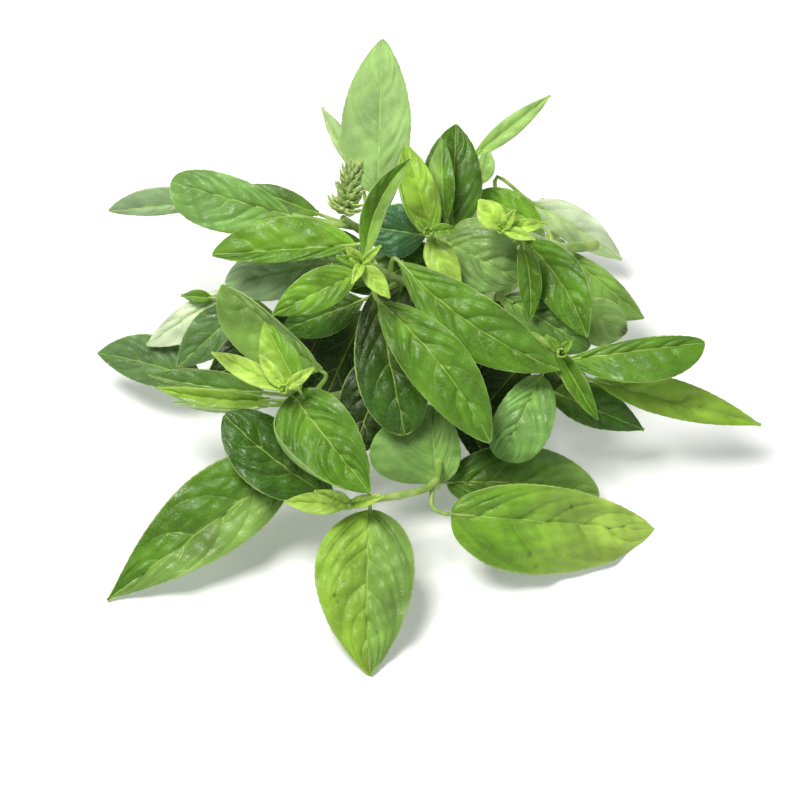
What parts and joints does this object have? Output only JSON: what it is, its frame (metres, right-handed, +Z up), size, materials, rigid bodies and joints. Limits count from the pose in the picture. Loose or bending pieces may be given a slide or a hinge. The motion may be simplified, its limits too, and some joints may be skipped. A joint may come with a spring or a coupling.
{
  "type": "basil bunch",
  "caption": "Loose untied bunch of cut leafy basil sprigs lying down, pointed ovate leaves fanned to the front, a small flower spike, stems gathered behind; fresh cooking herb",
  "frame": {"origin": "on the surface the bunch lies on, under the middle of its bounding box", "axes": "+Z up from the surface; +X to the right across the leafy face, the bunch's longest way; -Y to the front, where the leaf tips hang, and +Y to the back, where the cut stem ends lie"},
  "size_m": [0.2676, 0.2507, 0.1237],
  "materials": {
    "leaf_green": "satin waxy leaf surface, paler veins and margins, pale underside",
    "young_green": "satin, lime green young leaf",
    "spike_green": "matte, pale yellow-green bracts"
  },
  "bodies": {
    "root": {"back_sprig": "leaf_green", "flowering_sprig": "leaf_green", "flower_spike": "spike_green", "left_back_sprig": "leaf_green", "upper_sprig": "leaf_green", "upper_shoot": "young_green", "right_back_sprig": "leaf_green", "right_back_shoot": "young_green", "right_sprig": "leaf_green", "right_shoot": "young_green", "left_sprig": "leaf_green", "left_shoot": "young_green", "central_sprig": "leaf_green", "central_shoot": "young_green", "front_sprig": "leaf_green", "front_shoot": "young_green"}
  },
  "joints": []
}
